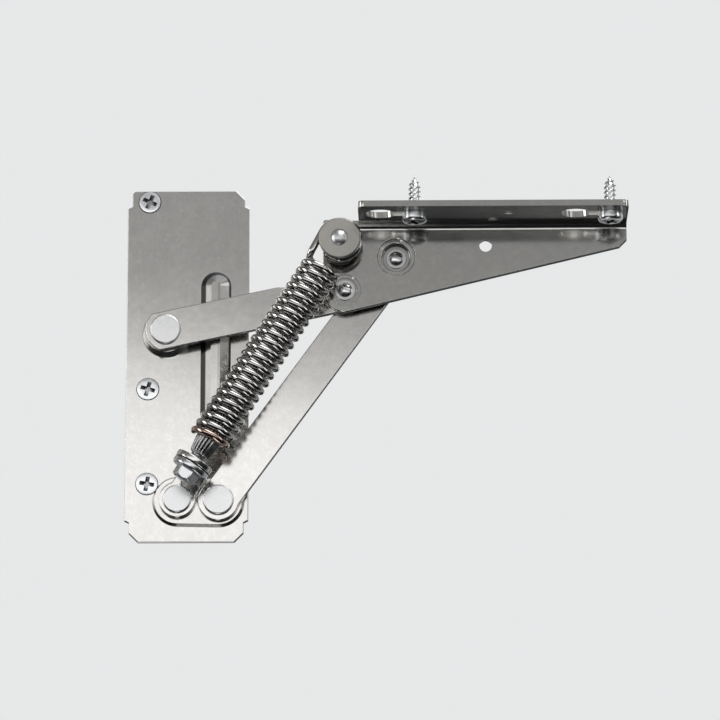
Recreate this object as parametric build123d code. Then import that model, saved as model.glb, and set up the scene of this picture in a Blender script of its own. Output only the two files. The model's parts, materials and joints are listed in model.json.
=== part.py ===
from build123d import *
from math import acos, atan2, cos, degrees, hypot, pi, radians, sin, tan
import os

# Swing-up lid stay with an adjustable tension spring, shown with its lid open.
# The origin is midway between the two outer panel screws, on the back face of the
# mounting plate. X points out of the cabinet, Z up, and -Y away from the panel.
# "Height" below is always the distance out from the panel, along -Y.

# ---- sheet and layers -------------------------------------------------------
PLATE_T = 1.5            # mounting plate
ARM_T = 2.0              # both arms and the spring link
BRACKET_T = 2.0          # lid bracket
RUN_GAP = 0.2            # between sheet faces that slide past each other
ARM_GAP = 0.3            # on both sides of the upper arm
PIVOT_CLEARANCE = 0.05   # radial, between a rivet and the hole that turns on it
PRESS_CLEARANCE = 0.0    # a rivet in the hole it is clenched in
BLANK_EDGE_R = 0.3       # rounded edge on the punch side of the sheets
OVERCUT = 1.0            # how far a cutter runs past the face that it opens

# ---- pivots, in the plane of the panel (X, Z) -------------------------------
UPPER_PIVOT = (6.0, 2.6)          # upper arm on the plate
LOWER_PIVOT = (23.7, -54.3)       # lower arm on the plate
LINK_PIVOT = (10.2, -54.0)        # spring link on the plate
REAR_JOINT = (65.1, 15.2)         # upper arm to bracket
FRONT_JOINT = (82.0, 26.4)        # lower arm to bracket
SPRING_PIN = (63.5, 30.3)         # top of the spring, on the bracket

# ---- mounting plate ---------------------------------------------------------
PLATE_LEFT = -7.3
PLATE_RIGHT = 33.3
PLATE_MARGIN_TOP = 3.8    # beyond the outer panel screws
PLATE_MARGIN_BOTTOM = 19.5
TAB_DEPTH_TOP = 6.1       # length of the narrower end at the top
TAB_DEPTH_BOTTOM = 7.2    # and at the bottom
TAB_INSET = 1.5           # how much each end is narrower, per side
TAB_CORNER = 3.0          # cut corners
TAB_CORNER_SMALL = 1.0    # the top corner on the screw side
SCREW_SPAN = 96.0         # outer panel screws
SCREW_PITCH = 32.0        # drilling pattern of cabinet sides
PANEL_SCREW_D = 4.2
PANEL_HEAD_D = 7.4
PANEL_HEAD_RISE = 0.5     # lens of the head above the plate
PANEL_HEAD_FLAT_D = 4.1   # flat middle of the lens
PANEL_SCREW_LENGTH = 13.0
SCREW_TIP_D = 0.6
SCREW_HOLE_CLEARANCE = 0.1
BEAD_CENTRE_X = 22.3      # stiffening bead pressed in the plate
BEAD_WIDTH = 9.6
BEAD_TOP = 23.6
BEAD_BOTTOM = -29.0
BEAD_WALL = 0.8
BEAD_ROOF = 1.2
BEAD_ROOF_TAPER = 70.0
BOSS_R = 7.0              # round boss that carries the upper arm
BOSS_DRAFT = 12.0
PAD_R = 7.6               # long pad that carries the lower arm and the spring link
PAD_HEIGHT = 2.0
PAD_DRAFT = 20.0

# ---- arms -------------------------------------------------------------------
ARM_HALF_W = 6.3
ARM_END_R = 7.75          # end of the upper arm at the plate
ARM_END_SHIFT = 1.2       # its centre lies this far up the arm
NECK_START = 39.0         # where the upper arm starts to narrow
NECK_LENGTH = 9.0
NECK_HALF_W = 4.4
NECK_R = 7.0              # soft corners where the neck starts and ends
LOWER_ARM_HALF_W = 6.2
LOWER_LUG_R = 6.7

# ---- rivets -----------------------------------------------------------------
PLATE_RIVET_D = 6.0
PLATE_RIVET_HEAD_D = 9.9
PLATE_RIVET_HEAD_T = 1.2
LINK_RIVET_HEAD_D = 9.2
JOINT_RIVET_D = 5.0
REAR_HEAD_D = 6.6
FRONT_HEAD_D = 6.4
JOINT_HEAD_T = 1.3
JOINT_RIM_T = 0.5         # flat rim round the crown of a joint rivet
JOINT_CROWN_D = 4.8
HEAD_EDGE_R = 0.45
TAIL_D = 9.0              # clenched end on the back of the lower arm
TAIL_T = 0.9

# ---- lid bracket ------------------------------------------------------------
BRACKET_NOSE_R = 7.3      # round end about the rear joint
WEB_TOP = 39.2            # free upper edge, left of the flange
FLANGE_TOP = 39.5
FLANGE_START = 69.7
BRACKET_END = 158.0
WEB_SLOPE = 13.55         # lower edge of the web, degrees
WEB_TIP_CUT = 2.5         # cut corner at its far end
FLANGE_DEPTH = 24.0       # from the back of the web
BEND_R = 2.0              # inside the bend
FLANGE_CORNER_R = 2.0
WEB_CORNER_R = 0.6
WEB_HOLE = (111.5, 30.1)
WEB_HOLE_D = 4.1
KEYHOLE_X = 77.0          # first round hole
KEYHOLE_D = 9.8
KEYHOLE_SLOT_W = 4.7
KEYHOLE_RUN = 11.2        # from the round hole to the screw
KEYHOLE_PITCH = 64.0
KEYHOLE_FROM_WEB = 14.9   # measured from the back of the web
PILOT_D = 3.2
PILOT_HOLES = ((113.8, 8.1), (118.9, 15.9))   # X, and distance from the back of the web
CUP_R = 6.2               # seat pressed back to the lower arm at the front joint
CUP_FLOOR_R = 4.3
CUP_T = 1.6
CUP_STEP_R = 4.9          # where its shallow upper step ends
CUP_STEP_DEPTH = 0.5
CUP_RIM_R = 0.3
REAR_RING_R = 5.3         # coined seat round the rear joint
REAR_RING_DEPTH = 0.7
REAR_STEP_R = 4.2         # full depth of the seat starts here
LID_SCREW_D = 4.2
LID_HEAD_D = 8.2
LID_HEAD_T = 3.0
LID_HEAD_EDGE_R = 1.3
LID_NECK_D = 3.4          # plain neck in the slot, thinner than the thread
LID_SCREW_LENGTH = 13.0
LID_SCREW_POINT = 3.4

# ---- cross recess in the head of every screw --------------------------------
RECESS_SPAN = 4.5
RECESS_WING = 1.1         # width of each wing at the face
RECESS_DEPTH = 1.8
RECESS_FLOOR_SPAN = 2.0
RECESS_FLOOR_WING = 0.8

# ---- spring, pin and adjuster ----------------------------------------------
SPRING_OD = 13.7
WIRE_D = 2.4
SPRING_CLEARANCE = 0.45   # between the coils and the bracket behind them
COILS = 23
COIL_START = 20.3         # along the spring from the link pivot
COIL_END = 89.8
LOOP_R = 6.4              # mean radius of the end loop
LOOP_SWEEP = 285.0
LOOP_CLEARANCE = 0.1
LOOP_SIDE_GAP = 0.3       # between the loop and the disc and collar beside it
PIN_D = 5.8
PIN_DISC_D = 13.6
PIN_DISC_T = 1.6
PIN_CROWN_D = 4.9         # headed end of the pin, inside the hole of the disc
PIN_DOME_RISE = 1.0
PIN_GROOVE = 0.4          # depth of the ring left round that end
PIN_COLLAR_D = 8.4
LINK_HALF_W = 4.5
LINK_LUG_R = 6.0
TAB_START = 10.4          # face of the bent-up tab, along the spring
TAB_R = 6.4
TAB_BEND_R = 1.6
TAB_HOLE_CLEARANCE = 0.1
ADJUSTER_D = 5.2
ADJUSTER_END = 27.5
WASHER_D = 12.4
WASHER_T = 2.3
HEX_FLATS = 7.2
HEX_T = 3.0
HEX_CHAMFER = 0.4
PLUG_START = 15.2
PLUG_CONE = 4.0
PLUG_TIP_D = 7.6
PLUG_CLEARANCE = 0.3      # between the plug and the inside of the coils
PLUG_END = 30.0

# ---- sizes and heights that follow from those above -------------------------
plate_top = SCREW_SPAN / 2 + PLATE_MARGIN_TOP
plate_bottom = -SCREW_SPAN / 2 - PLATE_MARGIN_BOTTOM
pad_top = PLATE_T + PAD_HEIGHT
lower_arm_back = pad_top + RUN_GAP
lower_arm_front = lower_arm_back + ARM_T
upper_arm_back = lower_arm_front + ARM_GAP
upper_arm_front = upper_arm_back + ARM_T
web_back = upper_arm_front + ARM_GAP
web_front = web_back + BRACKET_T
cup_floor_back = lower_arm_front + RUN_GAP
cup_floor_front = cup_floor_back + CUP_T
flange_under = FLANGE_TOP - BRACKET_T
boss_top = upper_arm_back - RUN_GAP
flange_edge = web_back + FLANGE_DEPTH
spring_height = web_front + SPRING_CLEARANCE + SPRING_OD / 2
coil_r = (SPRING_OD - WIRE_D) / 2
link_origin = (LINK_PIVOT[0], -spring_height, LINK_PIVOT[1])
pin_reach = hypot(SPRING_PIN[0] - LINK_PIVOT[0], SPRING_PIN[1] - LINK_PIVOT[1])
sleeve_r = LOOP_R - WIRE_D / 2 - LOOP_CLEARANCE
sleeve_bottom = spring_height - WIRE_D / 2 - LOOP_SIDE_GAP
sleeve_top = spring_height + WIRE_D / 2 + LOOP_SIDE_GAP
disc_top = sleeve_top + PIN_DISC_T


def layer(height):
    """Plane parallel to the panel: sketches in (X, Z), extruded away from the panel."""
    return Plane(origin=(0, -height, 0), x_dir=(1, 0, 0), z_dir=(0, -1, 0))


def slab(sketch, bottom, top, taper=0.0):
    """Sketch drawn in (X, Z), extruded between two heights."""
    return extrude(layer(bottom) * sketch, amount=top - bottom, taper=taper)


def disc(centre, radius, bottom, top):
    """Round slab about a pivot."""
    return slab(Pos(*centre) * Circle(radius), bottom, top)


def frustum(centre, bottom_r, bottom, top_r, top):
    """Cone between two heights about a pivot."""
    lower = layer(bottom) * Pos(*centre) * Circle(bottom_r)
    upper = layer(top) * Pos(*centre) * Circle(top_r)
    return loft([lower, upper])


def direction(start, end):
    """Angle of the line between two pivots, in degrees."""
    return degrees(atan2(end[1] - start[1], end[0] - start[0]))


def distance(start, end):
    return hypot(end[0] - start[0], end[1] - start[1])


def along(start, end):
    """Location at the first pivot, with local x toward the second."""
    return Pos(*start) * Rot(0, 0, direction(start, end))


def spring_frame():
    """Plane across the spring axis at the link pivot: its normal runs up the spring.

    Local x points to the left of the spring and local y away from the panel.
    """
    angle = radians(direction(LINK_PIVOT, SPRING_PIN))
    return Plane(
        origin=link_origin,
        x_dir=(-sin(angle), 0, cos(angle)),
        z_dir=(cos(angle), 0, sin(angle)),
    )


def across(sketch, start, end):
    """Sketch across the spring axis, extruded between two distances from the link pivot."""
    return extrude(spring_frame().offset(start) * sketch, amount=end - start)


def corner_at(sketch, x, y):
    return sketch.vertices().sort_by_distance((x, y, 0))[0]


def face_at(piece, height):
    """Widest face of a piece at a height."""
    level = piece.faces().filter_by(lambda face: abs(face.center().Y + height) < RUN_GAP / 2)
    return level.sort_by(SortBy.AREA)[-1]


def round_front(piece, radius):
    """Rounds the outline of the face that looks away from the panel."""
    return fillet(piece.faces().sort_by(Axis.Y)[0].edges(), radius)


def round_head(centre, head_d, seat, thickness, edge_r):
    """Flat round rivet head with a rounded rim."""
    return round_front(disc(centre, head_d / 2, seat, seat + thickness), edge_r)


def dome(centre, base_d, base, rise):
    """Spherical cap on a round base."""
    ball_r = ((base_d / 2) ** 2 + rise**2) / (2 * rise)
    ball = Pos(centre[0], -(base + rise - ball_r), centre[1]) * Sphere(ball_r)
    return ball & disc(centre, base_d / 2, base, base + rise)


def crowned_head(centre, head_d, seat):
    """Rivet head pressed into a crown, with a flat rim left round it."""
    rim = disc(centre, head_d / 2, seat, seat + JOINT_RIM_T)
    return rim + dome(centre, JOINT_CROWN_D, seat + JOINT_RIM_T, JOINT_HEAD_T - JOINT_RIM_T)


def cross_recess(face):
    """Cutter for a cross recess, sunk from the plane of a screw's face."""
    floor = face.offset(-RECESS_DEPTH)
    wings = []
    for turn in (0, 90):
        mouth = face * Rot(0, 0, turn) * Rectangle(RECESS_SPAN, RECESS_WING)
        end = floor * Rot(0, 0, turn) * Rectangle(RECESS_FLOOR_SPAN, RECESS_FLOOR_WING)
        wings.append(loft([mouth, end]))
    return wings[0] + wings[1]


# ---- pieces that stay on the panel ------------------------------------------
def screw_places():
    half = SCREW_SPAN / 2
    return {"top": half, "middle": half - 2 * SCREW_PITCH, "bottom": -half}


def countersink(z, clearance):
    """Cone and bore for a panel screw, as wide as the head at the face of the plate."""
    mouth_r = PANEL_HEAD_D / 2 + clearance
    bore_r = PANEL_SCREW_D / 2 + clearance
    bore = disc((0, z), bore_r, -OVERCUT, PLATE_T + OVERCUT)
    return bore + frustum((0, z), bore_r, 0, mouth_r, PLATE_T)


def plate_outline():
    left_in = PLATE_LEFT + TAB_INSET
    right_in = PLATE_RIGHT - TAB_INSET
    shoulder_top = plate_top - TAB_DEPTH_TOP
    shoulder_bottom = plate_bottom + TAB_DEPTH_BOTTOM
    corners = [
        (PLATE_LEFT, shoulder_bottom),
        (PLATE_LEFT, shoulder_top),
        (left_in, shoulder_top + TAB_INSET / 2),
        (left_in, plate_top - TAB_CORNER_SMALL),
        (left_in + TAB_CORNER_SMALL, plate_top),
        (right_in - TAB_CORNER, plate_top),
        (right_in, plate_top - TAB_CORNER),
        (right_in, shoulder_top + TAB_INSET / 2),
        (PLATE_RIGHT, shoulder_top),
        (PLATE_RIGHT, shoulder_bottom),
        (right_in, shoulder_bottom - TAB_INSET / 2),
        (right_in, plate_bottom + TAB_CORNER),
        (right_in - TAB_CORNER, plate_bottom),
        (left_in + TAB_CORNER, plate_bottom),
        (left_in, plate_bottom + TAB_CORNER),
        (left_in, shoulder_bottom - TAB_INSET / 2),
    ]
    return make_face(Polyline(*corners, close=True))


def mounting_plate():
    plate = round_front(slab(plate_outline(), 0, PLATE_T), BLANK_EDGE_R)
    bead_middle = (BEAD_CENTRE_X, (BEAD_TOP + BEAD_BOTTOM) / 2)
    bead = Pos(*bead_middle) * Rot(0, 0, 90) * SlotOverall(BEAD_TOP - BEAD_BOTTOM, BEAD_WIDTH)
    plate += slab(bead, PLATE_T, PLATE_T + BEAD_WALL)
    roof_bottom = PLATE_T + BEAD_WALL
    plate += slab(bead, roof_bottom, roof_bottom + BEAD_ROOF, taper=BEAD_ROOF_TAPER)
    boss_base_r = BOSS_R + (boss_top - PLATE_T) * sin(radians(BOSS_DRAFT))
    boss = Pos(*UPPER_PIVOT) * Circle(boss_base_r)
    plate += slab(boss, PLATE_T, boss_top, taper=BOSS_DRAFT)
    pad_base_r = PAD_R + PAD_HEIGHT * sin(radians(PAD_DRAFT))
    pad_middle = ((LOWER_PIVOT[0] + LINK_PIVOT[0]) / 2, (LOWER_PIVOT[1] + LINK_PIVOT[1]) / 2)
    pad_length = distance(LINK_PIVOT, LOWER_PIVOT) + 2 * pad_base_r
    pad_angle = direction(LINK_PIVOT, LOWER_PIVOT)
    pad = Pos(*pad_middle) * Rot(0, 0, pad_angle) * SlotOverall(pad_length, 2 * pad_base_r)
    plate += slab(pad, PLATE_T, pad_top, taper=PAD_DRAFT)
    for pivot in (UPPER_PIVOT, LOWER_PIVOT, LINK_PIVOT):
        plate -= disc(pivot, PLATE_RIVET_D / 2 + PRESS_CLEARANCE, -OVERCUT, boss_top + OVERCUT)
    for z in screw_places().values():
        plate -= countersink(z, SCREW_HOLE_CLEARANCE)
    return plate


def panel_screw(z):
    """Countersunk wood screw with a plain shank, point in the panel."""
    head_r = PANEL_HEAD_D / 2
    shank_r = PANEL_SCREW_D / 2
    head_top = PLATE_T + PANEL_HEAD_RISE
    tip = PANEL_SCREW_LENGTH - PLATE_T
    profile = make_face(
        Polyline(
            (0, head_top),
            (PANEL_HEAD_FLAT_D / 2, head_top),
            (head_r, PLATE_T),
            (shank_r, 0),
            (shank_r, -tip + shank_r),
            (SCREW_TIP_D / 2, -tip),
            (0, -tip),
            close=True,
        )
    )
    upright = Plane(origin=(0, 0, z), x_dir=(1, 0, 0), z_dir=(0, 0, 1)) * Rot(0, 0, 180) * profile
    screw = revolve(upright, Axis((0, 0, z), (0, 1, 0)))
    return screw - cross_recess(Plane(layer(head_top) * Pos(0, z)))


def plate_rivet(pivot, seat, head_d):
    """Rivet from the back of the plate to its round head in front of an arm."""
    shank = disc(pivot, PLATE_RIVET_D / 2, 0, seat)
    return shank + round_head(pivot, head_d, seat, PLATE_RIVET_HEAD_T, HEAD_EDGE_R)


# ---- arms -------------------------------------------------------------------
def upper_arm():
    length = distance(UPPER_PIVOT, REAR_JOINT)
    bar = Pos((length + ARM_END_SHIFT) / 2, 0) * Rectangle(length + 2 * ARM_END_R, 2 * ARM_HALF_W)
    ends = Pos(ARM_END_SHIFT, 0) * Circle(ARM_END_R) + Pos(length, 0) * Circle(ARM_HALF_W)
    middle = Pos(length / 2, 0) * Rectangle(length, 2 * ARM_END_R)
    outline = bar & (ends + middle)
    step = ARM_HALF_W - NECK_HALF_W
    neck_end = NECK_START + NECK_LENGTH
    neck = make_face(
        Polyline(
            (NECK_START, ARM_HALF_W),
            (neck_end, NECK_HALF_W),
            (length + ARM_HALF_W, NECK_HALF_W),
            (length + ARM_HALF_W, ARM_HALF_W + step),
            (NECK_START, ARM_HALF_W + step),
            close=True,
        )
    )
    outline -= neck
    outline = fillet(corner_at(outline, NECK_START, ARM_HALF_W), NECK_R)
    outline = fillet(corner_at(outline, neck_end, NECK_HALF_W), NECK_R)
    arm = slab(along(UPPER_PIVOT, REAR_JOINT) * outline, upper_arm_back, upper_arm_front)
    arm = round_front(arm, BLANK_EDGE_R)
    arm -= disc(UPPER_PIVOT, PLATE_RIVET_D / 2 + PIVOT_CLEARANCE, 0, web_front)
    arm -= disc(REAR_JOINT, JOINT_RIVET_D / 2, 0, web_front)
    return arm


def lower_arm():
    length = distance(LOWER_PIVOT, FRONT_JOINT)
    outline = Pos(length / 2, 0) * Rectangle(length, 2 * LOWER_ARM_HALF_W)
    outline += Circle(LOWER_LUG_R) + Pos(length, 0) * Circle(LOWER_ARM_HALF_W)
    arm = slab(along(LOWER_PIVOT, FRONT_JOINT) * outline, lower_arm_back, lower_arm_front)
    arm = round_front(arm, BLANK_EDGE_R)
    arm -= disc(LOWER_PIVOT, PLATE_RIVET_D / 2 + PIVOT_CLEARANCE, 0, web_front)
    arm -= disc(FRONT_JOINT, JOINT_RIVET_D / 2, 0, web_front)
    return arm


def front_joint_tail():
    """Clenched end of the front rivet, in and behind the lower arm.

    It stops at the front face of the arm, where the two arms' linkage is parted.
    """
    shank = disc(FRONT_JOINT, JOINT_RIVET_D / 2, lower_arm_back, lower_arm_front)
    return shank + disc(FRONT_JOINT, TAIL_D / 2, lower_arm_back - TAIL_T, lower_arm_back)


# ---- lid bracket and what is riveted to it ----------------------------------
def web_outline():
    """Flat side of the bracket, up to where the bend of its flange starts."""
    slope = radians(WEB_SLOPE)
    left = REAR_JOINT[0] - BRACKET_NOSE_R
    foot = (REAR_JOINT[0] + BRACKET_NOSE_R * sin(slope), REAR_JOINT[1] - BRACKET_NOSE_R * cos(slope))
    nose_middle = (
        REAR_JOINT[0] - BRACKET_NOSE_R * cos(pi / 4),
        REAR_JOINT[1] - BRACKET_NOSE_R * sin(pi / 4),
    )
    tip_x = BRACKET_END - WEB_TIP_CUT
    tip_z = foot[1] + (tip_x - foot[0]) * tan(slope)
    bend_start = flange_under - BEND_R
    edge = Polyline(
        foot,
        (tip_x, tip_z),
        (BRACKET_END, tip_z + WEB_TIP_CUT),
        (BRACKET_END, bend_start),
        (FLANGE_START, bend_start),
        (FLANGE_START, WEB_TOP),
        (left + WEB_CORNER_R, WEB_TOP),
        (left, WEB_TOP - WEB_CORNER_R),
        (left, REAR_JOINT[1]),
    )
    nose = ThreePointArc((left, REAR_JOINT[1]), nose_middle, foot)
    return make_face(edge + nose)


def flange():
    """Bent flange, drawn as an L-section and run along X."""
    leg_foot = flange_under - BEND_R - BRACKET_T
    section = make_face(
        Polyline(
            (web_back, leg_foot),
            (web_front, leg_foot),
            (web_front, flange_under),
            (flange_edge, flange_under),
            (flange_edge, FLANGE_TOP),
            (web_back, FLANGE_TOP),
            close=True,
        )
    )
    section = fillet(corner_at(section, web_back, FLANGE_TOP), BEND_R + BRACKET_T)
    section = fillet(corner_at(section, web_front, flange_under), BEND_R)
    side = Plane(origin=(BRACKET_END, 0, 0), x_dir=(0, -1, 0), z_dir=(-1, 0, 0))
    bent = extrude(side * section, amount=BRACKET_END - FLANGE_START)
    free_corners = bent.edges().filter_by(Axis.Z).group_by(Axis.Y)[0]
    return fillet(free_corners, FLANGE_CORNER_R)


def through_flange(x, from_web, radius):
    place = Pos(x, -(web_back + from_web), flange_under + BRACKET_T / 2)
    return place * Cylinder(radius, BRACKET_T + 2 * OVERCUT)


def keyhole(x):
    """Round hole for a screw head, and the slot the screw slides along."""
    middle = Pos(x + KEYHOLE_RUN / 2, -(web_back + KEYHOLE_FROM_WEB), flange_under + BRACKET_T / 2)
    slot = middle * Box(KEYHOLE_RUN, KEYHOLE_SLOT_W, BRACKET_T + 2 * OVERCUT)
    end = through_flange(x + KEYHOLE_RUN, KEYHOLE_FROM_WEB, KEYHOLE_SLOT_W / 2)
    return through_flange(x, KEYHOLE_FROM_WEB, KEYHOLE_D / 2) + slot + end


def web():
    """Side of the bracket, with the rounded edge of the punch side where nothing is bent."""
    side = slab(web_outline(), web_back, web_front)
    bend_middle = ((FLANGE_START + BRACKET_END) / 2, -web_front, flange_under - BEND_R)
    rim = face_at(side, web_front).edges().filter_by(Axis.Z, reverse=True)
    return fillet(rim.sort_by_distance(bend_middle)[1:], BLANK_EDGE_R)


def flap_bracket():
    bracket = web() + flange()
    cup_wall = CUP_T / 2
    bracket += frustum(FRONT_JOINT, CUP_FLOOR_R + cup_wall, cup_floor_back, CUP_R + cup_wall, web_back)
    cup_step = web_front - CUP_STEP_DEPTH
    bracket -= frustum(FRONT_JOINT, CUP_FLOOR_R, cup_floor_front, CUP_STEP_R, cup_step)
    bracket -= disc(FRONT_JOINT, CUP_R, cup_step, web_front + OVERCUT)
    for level in (cup_step, web_front):
        bracket = fillet(face_at(bracket, level).inner_wires().edges(), CUP_RIM_R)
    bracket -= disc(REAR_JOINT, REAR_RING_R, web_front - REAR_RING_DEPTH / 2, web_front + OVERCUT)
    bracket -= disc(REAR_JOINT, REAR_STEP_R, web_front - REAR_RING_DEPTH, web_front + OVERCUT)
    bracket -= disc(FRONT_JOINT, JOINT_RIVET_D / 2 + PRESS_CLEARANCE, 0, web_front)
    bracket -= disc(REAR_JOINT, JOINT_RIVET_D / 2 + PIVOT_CLEARANCE, 0, web_front)
    bracket -= disc(SPRING_PIN, PIN_D / 2 + PRESS_CLEARANCE, 0, web_front)
    bracket -= disc(WEB_HOLE, WEB_HOLE_D / 2, 0, web_front)
    for x in (KEYHOLE_X, KEYHOLE_X + KEYHOLE_PITCH):
        bracket -= keyhole(x)
    for x, from_web in PILOT_HOLES:
        bracket -= through_flange(x, from_web, PILOT_D / 2)
    return bracket


def rear_joint_rivet():
    """Clenched flush in the upper arm; the bracket turns on it under its head."""
    seat = web_front - REAR_RING_DEPTH + RUN_GAP / 2
    shank = disc(REAR_JOINT, JOINT_RIVET_D / 2, upper_arm_back, seat)
    return shank + crowned_head(REAR_JOINT, REAR_HEAD_D, seat)


def front_joint_rivet():
    """Clenched in the pressed seat of the bracket; it ends just short of the lower arm."""
    shank = disc(FRONT_JOINT, JOINT_RIVET_D / 2, lower_arm_front + RUN_GAP / 2, cup_floor_front)
    return shank + crowned_head(FRONT_JOINT, FRONT_HEAD_D, cup_floor_front)


def spring_pin():
    """Stepped stud in the bracket, headed over the retaining disc."""
    groove_floor = disc_top - PIN_GROOVE
    shank = disc(SPRING_PIN, PIN_D / 2, web_back, groove_floor)
    collar = disc(SPRING_PIN, PIN_COLLAR_D / 2, web_front, sleeve_bottom)
    crown = disc(SPRING_PIN, PIN_CROWN_D / 2, groove_floor, disc_top)
    return shank + collar + crown + dome(SPRING_PIN, PIN_CROWN_D, disc_top, PIN_DOME_RISE)


def pin_sleeve():
    bush = disc(SPRING_PIN, sleeve_r, sleeve_bottom, sleeve_top)
    return bush - disc(SPRING_PIN, PIN_D / 2, web_front, sleeve_top + OVERCUT)


def pin_disc():
    washer = round_front(disc(SPRING_PIN, PIN_DISC_D / 2, sleeve_top, disc_top), HEAD_EDGE_R)
    return washer - disc(SPRING_PIN, PIN_D / 2, web_front, disc_top + OVERCUT)


def lid_screw(x):
    """Pan-head screw up through a keyhole slot into the lid."""
    upward = (Align.CENTER, Align.CENTER, Align.MIN)
    downward = (Align.CENTER, Align.CENTER, Align.MAX)
    straight = LID_SCREW_LENGTH - LID_SCREW_POINT
    head = Cylinder(LID_HEAD_D / 2, LID_HEAD_T, align=downward)
    head = fillet(head.faces().sort_by(Axis.Z)[0].edges(), LID_HEAD_EDGE_R)
    neck = Cylinder(LID_NECK_D / 2, BRACKET_T, align=upward)
    shank = Pos(0, 0, BRACKET_T) * Cylinder(LID_SCREW_D / 2, straight - BRACKET_T, align=upward)
    tip = Pos(0, 0, straight) * Cone(LID_SCREW_D / 2, SCREW_TIP_D / 2, LID_SCREW_POINT, align=upward)
    screw = head + neck + shank + tip
    screw -= cross_recess(Plane(origin=(0, 0, -LID_HEAD_T), x_dir=(1, 0, 0), z_dir=(0, 0, -1)))
    return Pos(x, -(web_back + KEYHOLE_FROM_WEB), flange_under) * screw


# ---- spring and its adjuster ------------------------------------------------
def spring_link():
    """Strap from the link pivot, bent up into a round tab that the adjuster pulls on."""
    strap_end = TAB_START + ARM_T
    bend = make_face(
        Polyline(
            (0, lower_arm_back),
            (strap_end, lower_arm_back),
            (strap_end, spring_height),
            (TAB_START, spring_height),
            (TAB_START, lower_arm_front),
            (0, lower_arm_front),
            close=True,
        )
    )
    bend = fillet(corner_at(bend, strap_end, lower_arm_back), TAB_BEND_R + ARM_T)
    bend = fillet(corner_at(bend, TAB_START, lower_arm_front), TAB_BEND_R)
    up_spring = spring_frame().z_dir
    side = Plane(
        origin=(LINK_PIVOT[0], 0, LINK_PIVOT[1]),
        x_dir=up_spring,
        z_dir=up_spring.cross(Vector(0, -1, 0)),
    )
    link = extrude(side * bend, amount=LINK_HALF_W, both=True)
    link += disc(LINK_PIVOT, LINK_LUG_R, lower_arm_back, lower_arm_front)
    link += across(Circle(TAB_R), TAB_START, strap_end)
    link -= disc(LINK_PIVOT, PLATE_RIVET_D / 2 + PIVOT_CLEARANCE, 0, web_front)
    link -= across(Circle(ADJUSTER_D / 2 + TAB_HOLE_CLEARANCE), TAB_START - OVERCUT, strap_end + OVERCUT)
    return link


def adjusting_screw():
    """Hex head under the tab, and the rod that draws the plug down."""
    washer_bottom = TAB_START - WASHER_T
    hexagon = RegularPolygon(HEX_FLATS / 2, 6, major_radius=False)
    head = across(hexagon, washer_bottom - HEX_T, washer_bottom)
    crown = head.faces().sort_by(Axis(link_origin, tuple(spring_frame().z_dir)))[0].edges()
    head = chamfer(crown, HEX_CHAMFER)
    return head + across(Circle(ADJUSTER_D / 2), washer_bottom, ADJUSTER_END)


def adjuster_washer():
    ring = Circle(WASHER_D / 2) - Circle(ADJUSTER_D / 2 + TAB_HOLE_CLEARANCE)
    return across(ring, TAB_START - WASHER_T, TAB_START)


def spring_plug():
    """Nut inside the lower coils, drawn along the spring by the adjuster."""
    inside_r = coil_r - WIRE_D / 2 - PLUG_CLEARANCE
    cone_end = PLUG_START + PLUG_CONE
    tip = spring_frame().offset(PLUG_START) * Circle(PLUG_TIP_D / 2)
    base = spring_frame().offset(cone_end) * Circle(inside_r)
    plug = loft([tip, base]) + across(Circle(inside_r), cone_end, PLUG_END)
    return plug - across(Circle(ADJUSTER_D / 2 + PIVOT_CLEARANCE), PLUG_START - OVERCUT, PLUG_END + OVERCUT)


def coil_spring():
    """Open tension spring, wound right-handed, with a side loop round the pin."""
    turns_length = COIL_END - COIL_START
    frame = spring_frame()
    coil_path = frame.offset(COIL_START) * Helix(turns_length / COILS, turns_length, coil_r)
    wire = Circle(WIRE_D / 2)
    start = Plane(origin=coil_path @ 0, z_dir=coil_path % 0)
    coil = sweep(start * wire, path=coil_path, is_frenet=True)
    # the loop lies in the plane of the spring axis: x to the left, y up the spring
    loop_plane = Plane(origin=frame.origin, x_dir=frame.x_dir, z_dir=frame.x_dir.cross(frame.z_dir))
    reach = hypot(coil_r, pin_reach - COIL_END)
    tangent = atan2(COIL_END - pin_reach, coil_r) + acos(LOOP_R / reach)
    touch = (LOOP_R * cos(tangent), pin_reach + LOOP_R * sin(tangent))
    run = Line((coil_r, COIL_END), touch)
    turn = CenterArc((0, pin_reach), LOOP_R, degrees(tangent), LOOP_SWEEP)
    loop_path = loop_plane * (run + turn)
    loop_start = Plane(origin=loop_path @ 0, z_dir=loop_path % 0)
    loop = sweep(loop_start * wire, path=loop_path)
    elbow = Pos(*(coil_path @ 1)) * Sphere(WIRE_D / 2)
    return coil + elbow + loop


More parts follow.
